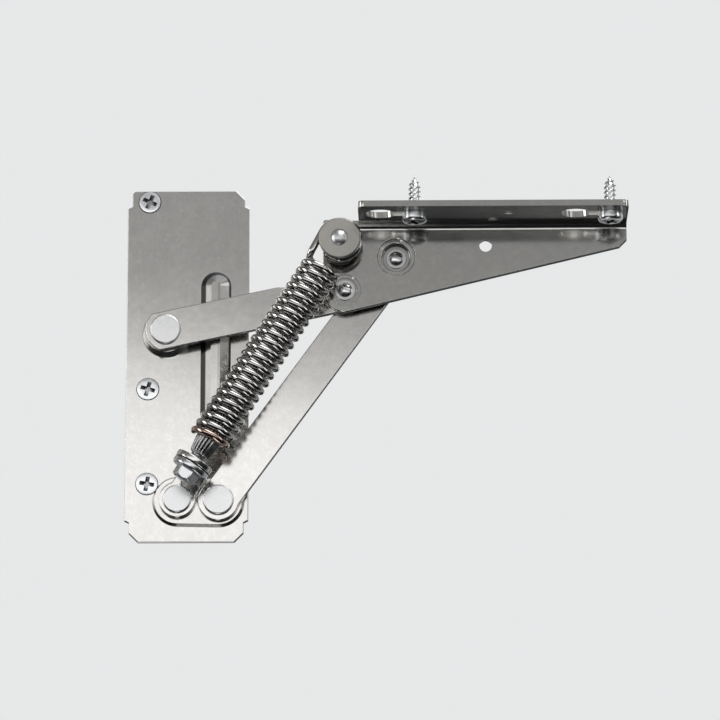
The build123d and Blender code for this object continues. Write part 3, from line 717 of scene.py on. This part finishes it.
def spring_line(spring, coil_r):
    """Points of the wire from its cut end to the end of its loop, and how many turns lie behind each."""
    origin, left, away, up = spring_axes()
    pin = middle_of("pin_disc")
    reach_to_pin = (Vector((pin.x, origin.y, pin.z)) - origin).dot(up)
    steps_per_turn = 56
    bend_turns = 0.09
    rise = (spring.coil_end - spring.coil_start) / spring.turns

    def on_coil(turns):
        angle = 2 * pi * turns
        around = coil_r * (cos(angle) * left + sin(angle) * away)
        return origin + around + up * (spring.coil_start + rise * turns)

    points = []
    along = []
    last_turn = spring.turns - bend_turns
    count = int(last_turn * steps_per_turn)
    for i in range(count + 1):
        turns = last_turn * i / count
        points.append(on_coil(turns))
        along.append(turns)
    gap = reach_to_pin - spring.coil_end
    tangent = atan2(-gap, coil_r) + acos(spring.loop_radius / hypot(coil_r, gap))
    centre = origin + up * reach_to_pin
    touch = centre + spring.loop_radius * (cos(tangent) * left + sin(tangent) * up)
    corner = on_coil(spring.turns)
    run = (touch - corner).normalized()
    before = (on_coil(last_turn) - on_coil(last_turn - 0.01)).normalized()
    bend_end = corner + run * 2.6 * MM
    pull = 1.9 * MM
    handles = (points[-1], points[-1] + before * pull, bend_end - run * pull, bend_end)
    bend_steps = 14
    for i in range(1, bend_steps + 1):
        t = i / bend_steps
        weights = ((1 - t) ** 3, 3 * t * (1 - t) ** 2, 3 * t * t * (1 - t), t ** 3)
        points.append(sum((w * h for w, h in zip(weights, handles)), Vector()))
    for share in (0.33, 0.66):
        points.append(bend_end.lerp(touch, share))
    loop_steps = 60
    for i in range(loop_steps + 1):
        angle = tangent + spring.loop_sweep * i / loop_steps
        points.append(centre + spring.loop_radius * (cos(angle) * left + sin(angle) * up))
    along += [spring.turns] * (len(points) - len(along))
    return points, along


class LIDSTAY_OT_spring(bpy.types.Operator):
    """Winds the tension spring between the adjuster and the pin"""

    bl_idname = "lid_stay.add_spring"
    bl_label = "Add the spring"

    def execute(self, context):
        spring = context.scene.lid_stay_spring
        wire_r = spring.wire_diameter / 2
        low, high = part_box("coil_spring")
        coil_r = (high.y - low.y) / 2 - wire_r
        points, along = spring_line(spring, coil_r)
        sides = 18
        mesh = skin(tube_rings(points, wire_r, sides, 0.15 * MM))
        turns = mesh.attributes.new("from_cut_end", "FLOAT", "POINT")
        turns.data.foreach_set("value", [value for value in along for _ in range(sides)])
        wire = spring_wire("spring_wire_nickel", spring.wire_colour, spring.first_turn_colour)
        coil = new_object("wound_spring", mesh, wire)
        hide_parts("coil_spring")
        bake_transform(coil)
        return {"FINISHED"}


def spring_place(distance):
    """Matrix at a distance up the spring, whose +Z runs down it."""
    origin, left, away, up = spring_axes()
    turn = Matrix((left, -away, -up)).transposed().to_4x4()
    return Matrix.Translation(origin + up * distance) @ turn


def hexagon_head(flats, height, sides):
    """Rings from the face of a hexagon head to its back, with its chamfered corners."""
    half = flats / 2
    face_r = flats * 0.45
    chamfer = 0.55 * MM
    steps = 5
    rings = lathe_rings(((POINT_R, 0.0), (face_r, 0.0)), sides)
    for level in [-chamfer * i / steps for i in range(1, steps + 1)] + [-height]:
        cone_r = face_r - level * 1.8
        ring = []
        for k in range(sides):
            angle = 2 * pi * k / sides
            flat_r = half / cos(angle % (pi / 3) - pi / 6)
            radius = min(flat_r, cone_r)
            ring.append(Vector((radius * cos(angle), radius * sin(angle), level)))
        rings.append(ring)
    return rings


def fluted_plug(adjuster, sides):
    """Rings round the plug, from its bore over the fluted outside and back."""
    bore = adjuster.rod / 2 + 0.2 * MM
    edge = 0.3 * MM
    length = adjuster.plug_end - adjuster.plug_start
    tip_r = adjuster.plug_tip / 2
    full_r = adjuster.plug_diameter / 2
    outline = ((tip_r - edge, 0.0), (tip_r, -edge), (full_r, -adjuster.plug_cone), (full_r, -length))
    rings = lathe_rings(((bore, 0.0),), sides)
    for radius, level in outline:
        ring = []
        for k in range(sides):
            angle = 2 * pi * k / sides
            groove = (0.5 + 0.5 * cos(adjuster.flutes * angle)) ** 2
            grooved = radius - adjuster.flute_depth * groove
            ring.append(Vector((grooved * cos(angle), grooved * sin(angle), level)))
        rings.append(ring)
    return rings + lathe_rings(((bore, -length),), sides)


def washer_rings(adjuster, sides):
    """Rings round the washer, from its bore over the rounded rim and back."""
    bore = adjuster.rod / 2 + 0.1 * MM
    outer = adjuster.washer / 2
    edge = 0.55 * MM
    thick = adjuster.washer_height
    front = [(r, -z) for r, z in rounded(outer - edge, outer, 0.0, edge, 5)]
    back = [(r, -thick + z) for r, z in reversed(rounded(outer - edge, outer, 0.0, edge, 5))]
    return lathe_rings(((bore, 0.0), *front, *back, (bore, -thick)), sides)


class LIDSTAY_OT_adjuster(bpy.types.Operator):
    """Adds the rounded washer, the threaded adjusting screw and the fluted plug"""

    bl_idname = "lid_stay.add_adjuster"
    bl_label = "Add the adjuster"

    def execute(self, context):
        adjuster = context.scene.lid_stay_adjuster
        finish = context.scene.lid_stay_finish
        steel = bright_steel("adjuster_zinc", shade(finish.screw_colour, 0.85), 0.18)
        round_washer = skin(washer_rings(adjuster, 64), joined=True)
        washer = new_object("adjuster_washer_round", round_washer, steel)
        washer.data.transform(spring_place(adjuster.washer_start))
        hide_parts("adjuster_washer")
        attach(washer, "adjuster")

        sides = 48
        rings = hexagon_head(adjuster.flats, adjuster.head_height, sides)
        rod_end = adjuster.head_start - adjuster.rod_end
        crest_r = adjuster.rod / 2
        core_r = crest_r - 0.6 * adjuster.pitch
        rings += thread_rings(
            -adjuster.head_height, rod_end, core_r, crest_r, adjuster.pitch, sides, flank=2,
        )
        screw = new_object("adjusting_screw_cut", skin(rings), steel)
        screw.data.transform(spring_place(adjuster.head_start))
        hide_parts("adjusting_screw")
        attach(screw, "adjuster")

        dark = bright_steel("plug_steel", (0.40, 0.405, 0.40), 0.22)
        plug = new_object("fluted_plug", skin(fluted_plug(adjuster, 144), joined=True), dark)
        plug.data.transform(spring_place(adjuster.plug_start))
        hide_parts("spring_plug")
        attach(plug, "plug")
        return {"FINISHED"}


def mark_recess(mesh, screw):
    """Marks the faces inside the recess, where the material paints shade."""
    margin = 0.06 * MM
    reach = screw.recess_span / 2 + margin
    # a face that leans less than this looks up the recess, and is its floor
    level = 0.85
    marked = mesh.attributes.new("in_recess", "FLOAT", "FACE")
    for face, mark in zip(mesh.polygons, marked.data):
        x, y, z = face.center
        normal = face.normal
        inside = hypot(x, y) < reach and -screw.recess_depth - margin < z < -margin
        outward = x * normal.x + y * normal.y
        wall = -0.1 < normal.z < level and outward < margin * reach
        floor = normal.z >= level and z < -screw.recess_depth * 0.6
        mark.value = 1.0 if inside and (wall or floor) else 0.0


def add_screw(node, head_profile, shank, place, material, screw):
    """Wood screw whose head looks along +Z of place, with a cross recess and a thread.

    The shank is given as where its thread starts, where it ends and its radius.
    """
    sides = 40
    neck_z, end_z, shank_r = shank
    core_r = shank_r - screw.thread_depth
    tip = shank_r * 1.7
    rings = lathe_rings(head_profile, sides)
    rings += thread_rings(neck_z, end_z, core_r, shank_r, screw.pitch, sides, tip)
    made = new_object(node + "_cut", skin(rings), material)
    wings = [
        tapered_bar(screw.wing_width, screw.recess_span, screw.recess_depth, radians(angle))
        for angle in (0, 90)
    ]
    core = screw.recess_span * 0.42
    centre = tapered_bar(core, core, screw.recess_depth, radians(45), sink=0.6)
    cut(made, [*wings, centre])
    mark_recess(made.data, screw)
    made.data.transform(place)
    made.data.set_sharp_from_angle(angle=SHARP_ANGLE)
    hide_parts(node)
    return made


class LIDSTAY_OT_panel_screws(bpy.types.Operator):
    """Adds the countersunk screws that hold the plate to the panel"""

    bl_idname = "lid_stay.add_panel_screws"
    bl_label = "Add the panel screws"

    def execute(self, context):
        screw = context.scene.lid_stay_screw
        finish = context.scene.lid_stay_finish
        # its cross recess keeps half the colour under painted shade
        zinc = bright_steel("panel_screw_zinc", shade(finish.screw_colour, 1.1), 0.22, 0.5)
        # the lens of the head, its rim and the cone under it, all down from the face
        rise = 0.1 * MM
        rim = 0.3 * MM
        neck = rim + 1.5 * MM
        edge_gap = 0.15 * MM
        steps = 8
        for place_name, turn in (("top", -24), ("middle", -16), ("bottom", -10)):
            node = "panel_screw_" + place_name
            low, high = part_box(node)
            head_r = (high.x - low.x) / 2 - edge_gap
            shares = [i / steps for i in range(1, steps + 1)]
            lens = [(head_r * share, -rise * share**6) for share in shares]
            profile = [(POINT_R, 0.0), *lens, (head_r, -rim), (SCREW_THREAD_R, -neck)]
            # the head looks away from the panel, along -Y
            place = Matrix.Translation((middle_of(node).x, low.y, middle_of(node).z))
            place @= Matrix.Rotation(radians(90), 4, "X") @ Matrix.Rotation(radians(turn), 4, "Z")
            shank = (-neck, low.y - high.y, SCREW_THREAD_R)
            made = add_screw(node, profile, shank, place, zinc, screw)
            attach(made, "plate")
        return {"FINISHED"}


class LIDSTAY_OT_lid_screws(bpy.types.Operator):
    """Adds the pan-head screws that hold the bracket to the lid"""

    bl_idname = "lid_stay.add_lid_screws"
    bl_label = "Add the lid screws"

    def execute(self, context):
        screw = context.scene.lid_stay_screw
        # its cross recess takes the material's painted shade
        zinc = bright_steel("lid_screw_zinc", context.scene.lid_stay_finish.screw_colour, 0.22)
        # the plain neck lies in the slot of the flange, under the head
        neck_r = 1.7 * MM
        head_t = 3.0 * MM
        neck = head_t + 2.0 * MM
        edge = 1.3 * MM
        for node, turn in (("lid_screw_inner", 20), ("lid_screw_outer", 65)):
            low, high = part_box(node)
            head_r = (high.x - low.x) / 2
            crown = [(r, -z) for r, z in rounded(head_r - edge, head_r, 0.0, edge, 7)]
            foot = [(head_r, -head_t), (neck_r, -head_t), (neck_r, -neck)]
            profile = [(POINT_R, 0.0), *crown, *foot]
            # the head looks down, along -Z
            place = Matrix.Translation((middle_of(node).x, middle_of(node).y, low.z))
            place @= Matrix.Rotation(pi, 4, "X") @ Matrix.Rotation(radians(turn), 4, "Z")
            shank = (-neck, low.z - high.z, SCREW_THREAD_R)
            made = add_screw(node, profile, shank, place, zinc, screw)
            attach(made, "bracket")
        return {"FINISHED"}


# position among the directions from straight down (0) to straight up (1), and radiance
ROOM_STOPS = (
    (0.0, (0.010, 0.010, 0.011, 1)),
    (0.30, (0.012, 0.013, 0.014, 1)),
    (0.37, (0.035, 0.042, 0.045, 1)),
    (0.47, (0.045, 0.050, 0.052, 1)),
    (0.55, (0.08, 0.08, 0.08, 1)),
    (0.62, (0.22, 0.21, 0.20, 1)),
    (0.72, (0.24, 0.23, 0.22, 1)),
    (1.0, (0.10, 0.10, 0.10, 1)),
)
# the share of a direction that points behind the part: from, to, and the radiance
# there; the second one takes most of it away straight behind
ROOM_BEHIND = ((0.15, 0.7, 0.0, 0.42), (0.87, 0.95, 0.0, -0.42))
# name, place, aim, width, height, radiance
SOFTBOXES = (
    ("top_box", (0.35, -0.3, 0.85), (0.07, 0, 0), 0.8, 0.6, 3.2),
    ("left_box", (-0.9, -0.35, 0.15), (0.07, 0, 0), 0.35, 0.8, 3.0),
    ("under_box", (-0.01, -0.08, -0.55), (-0.01, 0, 0), 0.12, 0.5, 1.9),
    ("right_box", (1.0, -0.3, 0.25), (0.07, 0, 0), 0.3, 0.8, 1.6),
    ("low_right_box", (0.23, -0.5, -0.11), (0.15, 0, 0.02), 0.2, 0.10, 0.13),
    ("back_box", (0.1, 1.1, 0.5), (0.07, 0, 0), 1.0, 0.6, 1.0),
)
# it lights the floor alone, from above
FLOOR_LIGHT = ("floor_light", (0, 0, -0.1), (0, 0.001, -1), 14.0, 14.0, 0.62)
FLOOR_HALF = 6.0
FLOOR_LEVEL = -0.62
VIEW_MIDDLE = (0.0699, 0.0, -0.006)


def softbox(name, place, aim, width, height, radiance):
    light = bpy.data.lights.new(name, "AREA")
    light.shape = "RECTANGLE"
    light.size = width
    light.size_y = height
    light.energy = radiance * pi * width * height
    made = linked(name, light)
    made.location = place
    made.rotation_euler = (Vector(aim) - Vector(place)).to_track_quat("-Z", "Y").to_euler()
    made.visible_camera = False
    return made


# the screen stands this far in front of the part, and reaches from and to these places
SCREEN_FRONT = -0.5
SCREEN_X = (-0.45, 0.60)
SCREEN_Z = (-0.06, 0.34)
# how far its bands sink to the right
SCREEN_SLOPE = 0.25
# height on the screen, and its radiance there
SCREEN_STOPS = (
    (-0.06, 0.9), (-0.03, 1.27), (0.088, 1.31), (0.103, 1.12), (0.115, 0.73),
    (0.127, 0.46), (0.142, 0.385), (0.18, 0.37), (0.27, 0.34), (0.34, 1.31),
)


def colour_ramp(nodes, stops):
    """Ramp through (position, colour) stops, the first at 0 and the last at 1."""
    ramp = nodes.new("ShaderNodeValToRGB")
    elements = ramp.color_ramp.elements
    elements[0].position, elements[0].color = stops[0]
    elements[1].position, elements[1].color = stops[-1]
    for position, colour in stops[1:-1]:
        elements.new(position).color = colour
    return ramp


def graded_screen():
    """Lit diffuser in front of the part: bright below, dim above and bright at its top edge."""
    mesh = bpy.data.meshes.new("front_screen")
    corners = [(x, SCREEN_FRONT, z) for z in SCREEN_Z for x in SCREEN_X]
    mesh.from_pydata(corners, [], [(0, 1, 3, 2)])
    material = bpy.data.materials.new("front_screen_light")
    material.use_nodes = True
    nodes, links = material.node_tree.nodes, material.node_tree.links
    nodes.remove(nodes["Principled BSDF"])
    place = nodes.new("ShaderNodeSeparateXYZ")
    links.new(nodes.new("ShaderNodeTexCoord").outputs["Object"], place.inputs[0])
    level = nodes.new("ShaderNodeMath")
    level.operation = "MULTIPLY_ADD"
    links.new(place.outputs["X"], level.inputs[0])
    level.inputs[1].default_value = SCREEN_SLOPE
    links.new(place.outputs["Z"], level.inputs[2])
    share = nodes.new("ShaderNodeMapRange")
    links.new(level.outputs[0], share.inputs["Value"])
    low, high = SCREEN_Z
    share.inputs["From Min"].default_value = low
    share.inputs["From Max"].default_value = high
    strongest = max(radiance for _, radiance in SCREEN_STOPS)
    ramp = colour_ramp(nodes, [
        ((height - low) / (high - low), (*[radiance / strongest] * 3, 1))
        for height, radiance in SCREEN_STOPS
    ])
    links.new(share.outputs["Result"], ramp.inputs["Fac"])
    glow = nodes.new("ShaderNodeEmission")
    glow.inputs["Strength"].default_value = strongest
    links.new(ramp.outputs["Color"], glow.inputs["Color"])
    links.new(glow.outputs[0], nodes["Material Output"].inputs["Surface"])
    mesh.materials.append(material)
    made = linked("front_screen", mesh)
    made.visible_camera = False


class LIDSTAY_OT_stage(bpy.types.Operator):
    """Sets up the floor, the surroundings, the lights and the camera"""

    bl_idname = "lid_stay.set_stage"
    bl_label = "Set the stage"

    def execute(self, context):
        stage = context.scene.lid_stay_stage
        self.floor(stage)
        self.surroundings(stage)
        self.lights()
        self.camera(stage)
        context.scene.view_settings.view_transform = "Standard"
        return {"FINISHED"}

    def floor(self, stage):
        mesh = bpy.data.meshes.new("floor")
        half = FLOOR_HALF
        corners = ((-half, -half), (half, -half), (half, half), (-half, half))
        mesh.from_pydata([(x, y, FLOOR_LEVEL) for x, y in corners], [], [(0, 1, 2, 3)])
        look = Shader("floor_pale", stage.floor_colour, 0.75, metallic=0.0)
        fine = look.noise(look.place, 30, detail=4)
        look.colour(look.mix(fine, shade(stage.floor_colour, 0.985), stage.floor_colour[:]))
        mesh.materials.append(look.material)
        made = linked("floor", mesh)
        # the metal mirrors the dim room instead of the floor
        made.visible_glossy = False

    def surroundings(self, stage):
        """Pale to look at; what the metal mirrors is a dim room, darkest below."""
        world = bpy.data.worlds.new("studio")
        world.use_nodes = True
        nodes, links = world.node_tree.nodes, world.node_tree.links
        seen = nodes["Background"]
        seen.inputs["Color"].default_value = (*stage.backdrop, 1)
        direction = nodes.new("ShaderNodeSeparateXYZ")
        links.new(nodes.new("ShaderNodeTexCoord").outputs["Generated"], direction.inputs[0])
        ramp = colour_ramp(nodes, ROOM_STOPS)
        rise = nodes.new("ShaderNodeMapRange")
        links.new(direction.outputs["Z"], rise.inputs["Value"])
        rise.inputs["From Min"].default_value = -1
        links.new(rise.outputs["Result"], ramp.inputs["Fac"])
        total = ramp.outputs["Color"]
        for numbers in ROOM_BEHIND:
            behind = nodes.new("ShaderNodeMapRange")
            links.new(direction.outputs["Y"], behind.inputs["Value"])
            for socket, number in zip(list(behind.inputs)[1:5], numbers):
                socket.default_value = number
            added = nodes.new("ShaderNodeVectorMath")
            links.new(total, added.inputs[0])
            links.new(behind.outputs["Result"], added.inputs[1])
            total = added.outputs[0]
        room = nodes.new("ShaderNodeBackground")
        links.new(total, room.inputs["Color"])
        either = nodes.new("ShaderNodeMixShader")
        path = nodes.new("ShaderNodeLightPath")
        links.new(path.outputs["Is Camera Ray"], either.inputs[0])
        links.new(room.outputs[0], either.inputs[1])
        links.new(seen.outputs[0], either.inputs[2])
        links.new(either.outputs[0], nodes["World Output"].inputs["Surface"])
        bpy.context.scene.world = world

    def lights(self):
        graded_screen()
        for box in SOFTBOXES:
            softbox(*box)
        softbox(*FLOOR_LIGHT).visible_glossy = False

    def camera(self, stage):
        aim = Vector(VIEW_MIDDLE)
        data = bpy.data.cameras.new("camera")
        data.sensor_width = 36.0
        data.lens = data.sensor_width * stage.distance / stage.view_width
        data.clip_start, data.clip_end = 0.05, 30.0
        back = Vector((
            sin(stage.azimuth) * cos(stage.elevation),
            -cos(stage.azimuth) * cos(stage.elevation),
            sin(stage.elevation),
        ))
        made = linked("camera", data)
        made.location = aim + back * stage.distance
        made.rotation_euler = (-back).to_track_quat("-Z", "Y").to_euler()
        bpy.context.scene.camera = made


class LIDSTAY_PT_panel(bpy.types.Panel):
    """Lists what builds the lid stay's looks"""

    bl_idname = "LIDSTAY_PT_panel"
    bl_label = "Lid stay"
    bl_space_type = "VIEW_3D"
    bl_region_type = "UI"
    bl_category = "Lid stay"

    def draw(self, context):
        for operator in OPERATORS:
            self.layout.operator(operator.bl_idname)
        for name, group in SETTINGS:
            column = self.layout.column(align=True)
            settings = getattr(context.scene, name)
            for entry in group.__annotations__:
                column.prop(settings, entry)


OPERATORS = (
    LIDSTAY_OT_sheets,
    LIDSTAY_OT_rivets,
    LIDSTAY_OT_spring,
    LIDSTAY_OT_adjuster,
    LIDSTAY_OT_panel_screws,
    LIDSTAY_OT_lid_screws,
    LIDSTAY_OT_stage,
)
SETTINGS = (
    ("lid_stay_finish", FinishSettings),
    ("lid_stay_spring", SpringSettings),
    ("lid_stay_adjuster", AdjusterSettings),
    ("lid_stay_screw", ScrewSettings),
    ("lid_stay_stage", StageSettings),
)


def register():
    for name, group in SETTINGS:
        bpy.utils.register_class(group)
        setattr(bpy.types.Scene, name, bpy.props.PointerProperty(type=group))
    for operator in OPERATORS:
        bpy.utils.register_class(operator)
    bpy.utils.register_class(LIDSTAY_PT_panel)


def unregister():
    bpy.utils.unregister_class(LIDSTAY_PT_panel)
    for operator in reversed(OPERATORS):
        bpy.utils.unregister_class(operator)
    for name, group in reversed(SETTINGS):
        delattr(bpy.types.Scene, name)
        bpy.utils.unregister_class(group)


def main():
    register()
    bpy.ops.lid_stay.finish_sheets()
    bpy.ops.lid_stay.finish_rivets()
    bpy.ops.lid_stay.add_spring()
    bpy.ops.lid_stay.add_adjuster()
    bpy.ops.lid_stay.add_panel_screws()
    bpy.ops.lid_stay.add_lid_screws()
    bpy.ops.lid_stay.set_stage()


if __name__ == "__main__":
    main()
